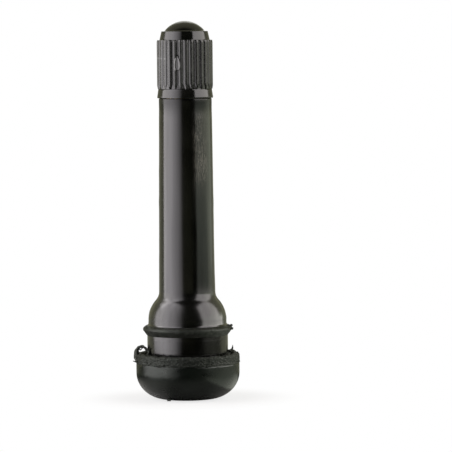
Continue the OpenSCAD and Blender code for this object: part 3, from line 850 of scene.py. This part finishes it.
def buildFilm(name, s, f):
    # torn rubber film: a bent strip in one upright plane, closed on all sides
    path, count = np.array(s["path"]), len(s["path"])
    steps, knots = np.linspace(0, 1, f["steps"] * count), np.linspace(0, 1, count)
    r, z = np.interp(steps, knots, path[:, 0]), np.interp(steps, knots, path[:, 1])
    blur = np.array([0.25, 0.5, 0.25])
    for _ in range(f["blurs"]):
        r[1:-1], z[1:-1] = np.convolve(r, blur, "valid"), np.convolve(z, blur, "valid")
    uneven = lumps(np.stack([steps * 11, steps * 0, steps * 0], axis=-1), 1.0, s["seed"])
    half = np.interp(steps, knots, s["widths"]) * (1 + f["widthUneven"] * uneven)
    gauge = np.interp(steps, knots, s["thick"]) / 2 * (1 - f["gaugeUneven"] * uneven)
    slope = np.stack([np.gradient(r), np.gradient(z)], axis=-1)
    slope /= np.linalg.norm(slope, axis=-1, keepdims=True)
    out = np.array([math.cos(s["turn"]), math.sin(s["turn"]), 0])
    across = np.array([-out[1], out[0], 0])
    up = np.array([0, 0, 1])
    middle = r[:, None] * out + z[:, None] * up
    normal = -slope[:, 1:2] * out + slope[:, 0:1] * up
    lanes = turnsOf(f["lanes"])
    loop = (middle[:, None, :] + (np.cos(lanes) * half[:, None])[..., None] * across
            + (np.sin(lanes) * gauge[:, None])[..., None] * normal[:, None, :])
    loop += (f["lump"] * lumps(loop, f["lumpSize"], s["seed"] + 1))[..., None] * normal[:, None, :]
    rows, sides = loop.shape[:2]
    faces = ringFaces(rows, sides, False, True).tolist()
    faces += [list(range(sides))[::-1], [(rows - 1) * sides + k for k in range(sides)]]
    piece = makeRubberPiece(name, loop, faces, [s["finish"]], 70)
    turnFacesOut(piece)
    return piece


filmPieces = {
    "filmArch": {
        "path": [(8.75, 6.5), (8.8, 7.1), (8.82, 7.8), (8.8, 8.3), (8.6, 8.72), (8.3, 8.95), (7.95, 9.0),
                 (7.6, 8.98), (7.3, 8.75), (7.1, 8.45), (6.85, 8.2)],
        "widths": [1.9, 1.7, 1.1, 0.7, 0.5, 0.45, 0.5, 0.45, 0.4, 0.45, 0.6],
        "thick": [0.6, 0.85, 0.95, 0.85, 0.62, 0.5, 0.56, 0.6, 0.5, 0.5, 0.6],
        "turn": 3.13, "seed": 31, "finish": frayedAndLitRubber,
    },
    "filmShred": {
        "path": [(8.85, 8.3), (8.5, 8.5), (8.2, 8.42), (7.95, 8.62), (7.75, 8.95)],
        "widths": [0.3, 0.2, 0.22, 0.2, 0.3], "thick": [0.3, 0.14, 0.2, 0.16, 0.3],
        "turn": 3.1, "seed": 33, "finish": frayedAndLitRubber,
    },
    "filmHook": {
        "path": [(7.75, 7.25), (7.4, 7.7), (7.2, 8.1), (7.15, 8.5), (7.3, 8.85), (7.55, 8.9)],
        "widths": [0.7, 0.5, 0.35, 0.25, 0.2, 0.08], "thick": [0.5, 0.4, 0.3, 0.2, 0.16, 0.1],
        "turn": 3.5, "seed": 41, "finish": flashRubber,
    },
    "filmWeb": {
        "path": [(6.8, 7.6), (7.25, 8.05), (7.6, 8.3), (7.72, 8.65), (7.8, 9.15)],
        "widths": [1.7, 1.3, 0.7, 0.3, 0.05], "thick": [0.9, 0.6, 0.45, 0.24, 0.05],
        "turn": 0.02, "seed": 35, "finish": flashRubber,
    },
    "filmTooth": {
        "path": [(8.5, 7.5), (8.6, 7.85), (8.68, 8.08)],
        "widths": [0.6, 0.35, 0.06], "thick": [0.4, 0.25, 0.06],
        "turn": -0.06, "seed": 39, "finish": flashRubber,
    },
    "ridgeTagHigh": {
        "path": [(7.0, 12.4), (7.4, 12.58), (7.78, 12.66)],
        "widths": [0.7, 0.5, 0.3], "thick": [0.5, 0.42, 0.24],
        "turn": -0.08, "seed": 51, "finish": frayedAndLitRubber,
    },
    "ridgeTagLow": {
        "path": [(7.1, 12.1), (7.55, 12.08), (7.88, 12.0)],
        "widths": [0.8, 0.6, 0.35], "thick": [0.6, 0.5, 0.3],
        "turn": -0.05, "seed": 53, "finish": frayedAndLitRubber,
    },
    "ventNib": {
        "path": [(5.55, 0.75), (5.95, 0.4), (6.2, 0.12)],
        "widths": [0.45, 0.45, 0.38], "thick": [0.4, 0.36, 0.2],
        "turn": -2.14, "seed": 45, "finish": flashRubber,
    },
}

rubber = buildRubberBody(rubberBody)
tornPieces = [buildTornBand(tornBand), buildSnapRidge(snapRidge), buildPartingFlash(partingFlash)]
tornPieces += [buildFilm(name, settings, filmMesh) for name, settings in filmPieces.items()]
print("rubber made:", len(rubber.data.polygons), "faces, with", len(tornPieces), "torn pieces")


# Dust cap: one rib's slice of the whole cap, repeated round the axis

dustCap = {
    "ribs": 30, "bottom": 51.8, "outer": 4.8, "ringTop": 53.35, "ringTopRadius": 4.6, "root": 4.45,
    "ribTop": 61.75, "collarLow": 4.3, "collarTop": 4.0, "collarTopHeight": 63.25, "dome": 3.475,
    "apex": 65.0, "bore": 3.93, "lead": 0.3, "mouth": 60.95, "pocket": 3.4, "pocketFoot": 61.55,
    "roof": 62.3, "hollow": 2.4, "hollowRise": 1.1, "ribHalf": 0.40, "runOut": 0.9, "edge": 0.12,
    "ribTurn": -3.9, "ribSteps": (0.0, 0.08, 0.15, 0.21, 0.26, 0.305, 0.345, 0.41, 0.5), "weld": 0.002,
    "pitch": 0.79375, "threadDepth": 0.16,
    # shares of the full depth: the range for most grooves, and the rest by their turn in degrees
    "grooveDepths": (0.40, 0.75),
    "ownDepths": {
        206.1: 0.35, 242.1: 1.25, 254.1: 1.2, 266.1: 0.6, 278.1: 0.5,
        290.1: 0.65, 302.1: 0.75, 314.1: 0.5, 326.1: 0.35, 338.1: 0.35,
    },
    "gateTurn": -1.85, "gateHeight": 57.85, "gateHalf": (0.62, 1.3), "gateRim": 0.10, "gateSink": 0.12,
}


def capSlice(s):
    half = np.array(s["ribSteps"])
    columns = np.concatenate([-half[:0:-1], half])
    outer, root, bore, edge = s["outer"], s["root"], s["bore"], s["edge"]
    bottom, lead, ringTop, ringRadius = s["bottom"], s["lead"], s["ringTop"], s["ringTopRadius"]
    ribTop, collarTop, collarHeight = s["ribTop"], s["collarTop"], s["collarTopHeight"]
    domeRise = s["apex"] - collarHeight
    domeRadius = (s["dome"] ** 2 + domeRise ** 2) / (2 * domeRise)
    domeStart = math.degrees(math.asin((domeRadius - domeRise) / domeRadius))
    skirt = arc((outer - edge, bottom + edge), edge, edge, -90, 0, 5)
    skirt += straight((outer, bottom + edge), (ringRadius + 0.01, ringTop - 0.08), 8)[1:]
    skirt += [(ringRadius, ringTop - 0.03), (ringRadius - 0.04, ringTop)]
    ribHeights = np.concatenate([
        np.linspace(ringTop + 0.02, ringTop + 1.0, 11), np.linspace(ringTop + 1.15, ribTop - 0.5, 54),
        np.array([-0.35, -0.22, -0.12, -0.05, -0.015]) + ribTop,
    ])
    rest = [(root - 0.02, ribTop), (s["collarLow"] + 0.03, ribTop)]
    rest += straight((s["collarLow"], ribTop + 0.03), (collarTop, collarHeight - edge), 8)
    rest += arc((collarTop - edge, collarHeight - edge), edge, edge, 10, 90, 5)
    rest += arc((0, s["apex"] - domeRadius), domeRadius, domeRadius, domeStart, 90, 16)
    rest += arc((0, s["roof"]), s["hollow"], s["hollowRise"], 90, 0, 10)
    rest += [(s["pocket"], s["roof"]), (s["pocket"], s["pocketFoot"])]
    rest += straight((bore, s["mouth"]), (bore, bottom + lead), 64)
    rest += [(bore, bottom + lead), (bore + lead, bottom)]
    outline = np.array(skirt + [(root, z) for z in ribHeights] + rest)
    r, z = outline[:, 0:1], outline[:, 1:2]
    ribbed = np.zeros_like(r)
    ribbed[len(skirt):len(skirt) + len(ribHeights)] = 1
    run = np.clip((z - ringTop) / s["runOut"], 0, 1)
    topFade = np.clip((ribTop - z) / 0.3, 0, 1)
    reach = s["ribHalf"] * (0.2 + 0.8 * run)
    height = (outer - root) * np.minimum(0.5 + 0.5 * ease(run, 0, 0.8), 0.55 + 0.45 * topFade)
    shape = np.clip(1 - (np.abs(columns)[None, :] / reach) ** 2, 0, 1) ** 0.6
    turn = columns[None, :] * 2 * math.pi / s["ribs"] + math.radians(s["ribTurn"])
    points = spun(r + ribbed * height * shape, z, turn)
    return points, ringFaces(len(outline), len(columns), True, False)


def readPoints(mesh):
    points = np.empty(len(mesh.vertices) * 3)
    mesh.vertices.foreach_get("co", points)
    points = points.reshape(-1, 3) / mm
    return points, np.hypot(points[:, 0], points[:, 1]), np.arctan2(points[:, 1], points[:, 0])


def setRadius(mesh, points, old, new):
    points[:, :2] *= (new / np.maximum(old, 1e-9))[:, None]
    mesh.vertices.foreach_set("co", (points * mm).ravel())
    mesh.update()


def varyGrooves(mesh, s):
    # moulded grooves are not all equally deep
    def numberOf(degrees):
        return np.floor((degrees - s["ribTurn"]) * s["ribs"] / 360).astype(int) % s["ribs"]

    points, r, turn = readPoints(mesh)
    depths = np.random.default_rng(12).uniform(*s["grooveDepths"], s["ribs"])
    depths[numberOf(np.array(list(s["ownDepths"])))] = list(s["ownDepths"].values())
    z = points[:, 2]
    inZone = (z > s["ringTop"] + 0.01) & (z < s["ribTop"] - 0.01) & (r > s["root"] - 0.05)
    deepened = s["outer"] - (s["outer"] - r) * depths[numberOf(np.degrees(turn))]
    setRadius(mesh, points, r, np.where(inZone, deepened, r))


def markGate(mesh, s):
    # drop-shaped mark of the moulding gate, bridging a groove and raised round its rim
    points, r, turn = readPoints(mesh)
    across = turnFrom(turn, s["gateTurn"]) * s["outer"] / s["gateHalf"][0]
    along = (points[:, 2] - s["gateHeight"]) / s["gateHalf"][1]
    width = 0.95 * (1 - along) * np.sqrt(np.clip(1 + along, 0, None))
    inward = 1 - np.abs(across) / np.clip(width, 0.0001, None)
    onMark = (r > s["collarLow"]) * (np.abs(along) < 1) * (inward > 0)
    depth = s["gateRim"] * ease(inward, 0.0, 0.2) - s["gateSink"] * ease(inward, 0.35, 0.7)
    setRadius(mesh, points, r, r + (s["outer"] + depth - r) * onMark * ease(inward, 0.0, 0.15))


def buildDustCap(s):
    piece = newPiece("capShell", *capSlice(s))
    bakeTree(piece, repeatTree, {"Count": s["ribs"], "Weld": s["weld"] * mm, "Finish": capPlastic})
    cutThread(
        piece, capPlastic, pitch=s["pitch"], depth=s["threadDepth"], radius=s["bore"],
        bottom=s["bottom"] + s["lead"], top=s["mouth"],
    )
    varyGrooves(piece.data, s)
    markGate(piece.data, s)
    return settlePiece(piece, 55, "dust_cap", ["cap_shell"])


cap = buildDustCap(dustCap)
print("cap made:", len(cap.data.polygons), "faces")


# Brass stem with its two threads

brassStem = {
    "sides": 144, "foot": 4.3, "footLow": 1.8, "footTop": 3.2, "shank": 3.1,
    "gripFrom": 18.59, "grips": 5, "gripDepth": 0.25, "collar": 50.4,
    "thread": 3.85, "threadFrom": 51.6, "mouth": 61.5, "chamfer": 0.6, "coreThread": 2.6, "coreLead": 0.15,
    "coreRunOut": 0.4, "taperTop": 2.3, "taperTopHeight": 51.7,
    "chamber": 1.9, "chamberTop": 49.5, "chamberLow": 41.0, "bore": 2.15,
    "pitch": 0.79375, "threadDepth": 0.42, "corePitch": 0.7056, "coreDepth": 0.2,
}


def buildBrassStem(s):
    shank, thread, mouth, core, chamber = s["shank"], s["thread"], s["mouth"], s["coreThread"], s["chamber"]
    chamferFoot, rim = (thread, mouth - s["chamfer"]), (thread - s["chamfer"], mouth)
    coreFoot = s["taperTopHeight"] + s["coreRunOut"]
    outline = [(s["foot"], s["footLow"]), (s["foot"], s["footTop"]), (shank, s["footTop"] + 0.5)]
    for grip in range(s["grips"]):
        z, d = s["gripFrom"] + 2 * grip, s["gripDepth"]
        outline += [(shank, z), (shank - d, z + d), (shank - d, z + 1 - d), (shank, z + 1)]
    outline += [(shank, s["collar"] - thread + shank), (thread, s["collar"])]
    outline += straight((thread, s["threadFrom"]), chamferFoot, 120)
    outline += straight(chamferFoot, rim, 4) + [rim, (core + s["coreLead"], mouth)]
    outline += straight((core, mouth - s["coreLead"]), (core, coreFoot), 110)
    outline += [(core, coreFoot), (s["taperTop"], s["taperTopHeight"]), (chamber, s["chamberTop"]),
                (chamber, s["chamberLow"]), (s["bore"], s["chamberLow"]), (s["bore"], s["footLow"])]
    outline = np.array(outline)
    points = spun(outline[:, 0:1], outline[:, 1:2], turnsOf(s["sides"]))
    piece = newPiece("brassStem", points, ringFaces(len(outline), s["sides"]))
    cutThread(
        piece, metals["stemBrass"], pitch=s["pitch"], depth=-s["threadDepth"], radius=thread,
        bottom=s["threadFrom"] + 0.2, top=mouth + 0.4,
    )
    cutThread(
        piece, metals["stemBrass"], pitch=s["corePitch"], depth=s["coreDepth"], radius=core,
        bottom=coreFoot, top=mouth + 0.2,
    )
    return settlePiece(piece, 35, "valve", ["brass_stem"])


coreSpring = {"turns": 9.0, "coil": 0.96, "wire": 0.14, "bottom": 46.6, "top": 53.15, "travel": 1.2}


def buildCoreSpring(s):
    piece = newObject("coreSpring", [], [])
    bakeTree(piece, coilTree, {
        "Turns": s["turns"], "Coil Radius": s["coil"] * mm, "Wire Radius": s["wire"] * mm,
        "Bottom": s["bottom"] * mm, "Top": s["top"] * mm, "Finish": metals["springSteel"],
    })
    turnFacesOut(piece)
    settlePiece(piece, 60, "valve", ["core_spring"])
    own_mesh(piece)
    return piece


stem = buildBrassStem(brassStem)
spring = buildCoreSpring(coreSpring)
print("stem and spring made:", len(stem.data.polygons), len(spring.data.polygons), "faces")


# The other core pieces keep their solids and get their finish here

nodeFinishes = {
    "core_plug": metals["coreBrass"], "core_barrel": metals["coreBrass"], "seat_cup": metals["coreBrass"],
    "core_pin": metals["pinSteel"], "barrel_gasket": softParts["gasketPlastic"],
    "seat_washer": softParts["washerRubber"], "cap_seal": softParts["washerRubber"],
}
for nodeName, finish in nodeFinishes.items():
    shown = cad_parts[nodeName]
    shown.data.materials.clear()
    shown.data.materials.append(finish)


# Studio: pale floor and backdrop, soft boxes, a dim room

studio = {
    "floorSize": 1.6, "floorDrop": 1e-5,   # just under the base, so that the two faces don't coincide
    "backdropAt": 1.5, "backdropSize": (0.7, 0.35), "floorColour": (0.93, 0.93, 0.92),
    "glowNear": 0.75, "shadowFrom": 0.009, "shadowTo": 0.021,
    # what polished pieces mirror of the floor, from the valve outwards
    "mirrorNear": 0.68, "mirrorLeft": 0.10, "mirrorRight": 0.40, "mirrorTo": 0.028,
    "leftSide": (-0.35, -0.85), "rightSide": (0.45, 0.9),
    "roomBack": (0.30, 0.295, 0.20), "roomFront": (0.012, 0.012, 0.010), "roomTop": (0.27, 0.26, 0.185),
    "backFrom": (-0.7, 0.2), "topBackFrom": (-0.12, 0.25), "topFrom": (0.35, 0.85),
}


def makeStageMaterial(name, s):
    material = bpy.data.materials.new(name)
    material.use_nodes = True
    tree = material.node_tree
    tree.nodes.remove(tree.nodes["Principled BSDF"])
    rays = makeNode(tree, "ShaderNodeLightPath").outputs
    vector = makeNode(tree, "ShaderNodeTexCoord").outputs["Object"]
    radius = lengthOf(tree, vector)
    side = calc(tree, "DIVIDE", splitVector(tree, vector)[0], calc(tree, "MAXIMUM", radius, 1e-6))
    share = ramp(tree, radius, s["shadowFrom"], s["shadowTo"], s["glowNear"], 1.0)
    right = ramp(tree, side, *s["rightSide"], s["mirrorNear"], s["mirrorRight"])
    nearest = ramp(tree, side, *s["leftSide"], right, s["mirrorLeft"])
    clear = ramp(tree, radius, s["shadowFrom"], s["mirrorTo"], nearest, 1.0)
    mirrored = calc(tree, "ADD", rays["Is Glossy Ray"], rays["Is Transmission Ray"], True)
    seen = calc(tree, "ADD", times(tree, rays["Is Camera Ray"], share), times(tree, mirrored, clear), True)
    matt = makeNode(tree, "ShaderNodeBsdfDiffuse", {"Color": (*s["floorColour"], 1)}).outputs[0]
    glow = makeNode(tree, "ShaderNodeEmission", {"Color": (1, 1, 1, 1), "Strength": 1.0}).outputs[0]
    mix = makeNode(tree, "ShaderNodeMixShader", {0: seen, 1: matt, 2: glow}).outputs[0]
    feed(tree, tree.nodes["Material Output"], {"Surface": mix})
    material.cycles.emission_sampling = "NONE"
    return material


def makeStagePlane(name, corners, material):
    plane = newObject(name, corners, [(0, 1, 2, 3)])
    plane.data.materials.append(material)
    return plane


def makeStage(s):
    material = makeStageMaterial("paleStage", s)
    size, low, back = s["floorSize"], -s["floorDrop"], s["backdropAt"]
    half, tall = s["backdropSize"][0] / 2, s["backdropSize"][1]
    onFloor = [(-size, -size, low), (size, -size, low), (size, size, low), (-size, size, low)]
    onBack = [(-half, back, 0), (half, back, 0), (half, back, tall), (-half, back, tall)]
    return [makeStagePlane("floor", onFloor, material), makeStagePlane("backdrop", onBack, material)]


def collect(name, pieces):
    made = bpy.data.collections.new(name)
    for piece in pieces:
        made.objects.link(piece)
    return made


# the pale stage is not mirrored in the black rubber and cap, and one card is mirrored in the rubber alone
darkPieces = collect("darkPieces", [rubber, cap, *tornPieces])
for entry in darkPieces.collection_objects:
    entry.light_linking.link_state = "EXCLUDE"
for plane in makeStage(studio):
    plane.light_linking.receiver_collection = darkPieces
rubberOnly = collect("rubberOnly", [rubber])

# turn in degrees from the camera's side, to the right; the rest in metres
softBoxes = {
    "leftBox": {
        "turn": -62, "away": 0.070, "bottom": 0.0015, "size": (0.1476, 0.150), "glow": 2.42,
        "colour": (1.0, 0.955, 0.995), "fade": 0.50,
    },
    "leftFloorCard": {
        "turn": -62, "away": 0.047, "bottom": 0.0006, "size": (0.082, 0.028), "glow": 5.6,
        "colour": (1.0, 0.98, 0.98), "flat": True, "fade": 0.56,
    },
    "rightBox": {
        "turn": 77, "away": 0.5, "bottom": 0.085, "size": (0.707, 0.75), "glow": 2.05,
        "colour": (1.0, 0.95, 0.95),
    },
    "rightFloorCard": {
        "turn": 80, "away": 0.0355, "bottom": 0.0006, "size": (0.056, 0.054), "glow": 0.65,
        "colour": (0.95, 1.0, 0.86), "flat": True, "fade": 0.65,
    },
    "neckFloorCard": {
        "turn": 80, "away": 0.108, "bottom": 0.0004, "size": (0.15, 0.088), "glow": 0.10,
        "colour": (1.0, 1.0, 0.75), "flat": True,
    },
    "lowCard": {
        "turn": 88, "away": 0.25, "bottom": 0.001, "size": (0.50, 0.070), "glow": 0.41,
        "colour": (0.91, 1.0, 0.85),
    },
    "shoulderStrip": {
        "turn": 77, "away": 0.022, "bottom": 0.0106, "size": (0.032, 0.0061), "glow": 1.8,
        "colour": (1.0, 0.95, 0.94),
    },
    "flareCard": {
        "turn": -110, "away": 0.30, "bottom": 0.20, "size": (0.14, 0.44), "glow": 1.7,
        "colour": (1.0, 0.955, 0.985), "rubberOnly": True,
    },
    "frontFloorCard": {
        "turn": 0, "away": 0.45, "bottom": 0.0006, "size": (0.34, 0.6), "glow": 0.12,
        "colour": (1.0, 1.0, 0.7), "flat": True,
    },
    "backFloorCard": {
        "turn": 180, "away": 0.75, "bottom": 0.0006, "size": (2.8, 1.45), "glow": 0.26,
        "colour": (1.0, 1.0, 0.75), "flat": True,
    },
    "backBox": {
        "turn": 180, "away": 0.7, "bottom": 0.15, "size": (0.30, 0.5), "glow": 0.8, "colour": (1.0, 1.0, 1.0),
    },
}


def addSoftBox(name, s):
    wide, tall = s["size"]
    flat = s.get("flat", False)
    lamp = bpy.data.lights.new(name, "AREA")
    lamp.shape = "ELLIPSE" if flat else "RECTANGLE"
    lamp.size, lamp.size_y = wide, tall
    lamp.energy = s["glow"] * math.pi * wide * tall * (math.pi / 4 if flat else 1)
    lamp.color = s["colour"]
    box = bpy.data.objects.new(name, lamp)
    bpy.context.scene.collection.objects.link(box)
    turn = math.radians(s["turn"])
    towards = Vector((math.sin(turn), -math.cos(turn), 0))
    box.location = towards * s["away"] + Vector((0, 0, s["bottom"]))
    if flat:
        box.rotation_euler = (math.pi, 0, -abs(turn))
    else:
        box.location.z += tall / 2
        box.rotation_euler = towards.to_track_quat("Z", "Y").to_euler()
    box.visible_camera = False
    if s.get("rubberOnly", False):
        box.light_linking.receiver_collection = rubberOnly
    if "fade" in s:   # dimmer towards the camera's side
        lamp.use_nodes = True
        tree = lamp.node_tree
        across = makeNode(tree, "ShaderNodeNewGeometry").outputs["Parametric"]
        strength = ramp(tree, splitVector(tree, across)[0], s["fade"], 1.0, 1.0, 0.04, False)
        feed(tree, tree.nodes["Emission"], {"Strength": strength})


for boxName, boxSettings in softBoxes.items():
    addSoftBox(boxName, boxSettings)


def makeRoom(s):
    world = bpy.data.worlds.new("room")
    bpy.context.scene.world = world
    world.use_nodes = True
    tree = world.node_tree
    y, z = splitVector(tree, makeNode(tree, "ShaderNodeTexCoord").outputs["Generated"])[1:]
    around = blendColour(tree, ramp(tree, y, *s["backFrom"]), s["roomFront"], s["roomBack"])
    overhead = blendColour(tree, ramp(tree, y, *s["topBackFrom"]), s["roomFront"], s["roomTop"])
    colour = blendColour(tree, ramp(tree, z, *s["topFrom"]), around, overhead)
    feed(tree, tree.nodes["Background"], {"Color": colour})


makeRoom(studio)

view = {"distance": 0.57, "height": 0.0625, "aim": (0.0068, 0, 0.0297), "lens": 264.2, "roll": -0.55}
camera = bpy.data.objects.new("camera", bpy.data.cameras.new("camera"))
bpy.context.scene.collection.objects.link(camera)
camera.data.sensor_width = 36
camera.data.lens = view["lens"]
camera.data.clip_start, camera.data.clip_end = 0.01, 10
camera.location = (0, -view["distance"], view["height"])
look = (Vector(view["aim"]) - camera.location).to_track_quat("-Z", "Y")
camera.rotation_mode = "QUATERNION"
camera.rotation_quaternion = look @ Quaternion((0, 0, 1), math.radians(view["roll"]))
bpy.context.scene.camera = camera
bpy.context.scene.view_settings.view_transform = "Standard"
print("studio made")
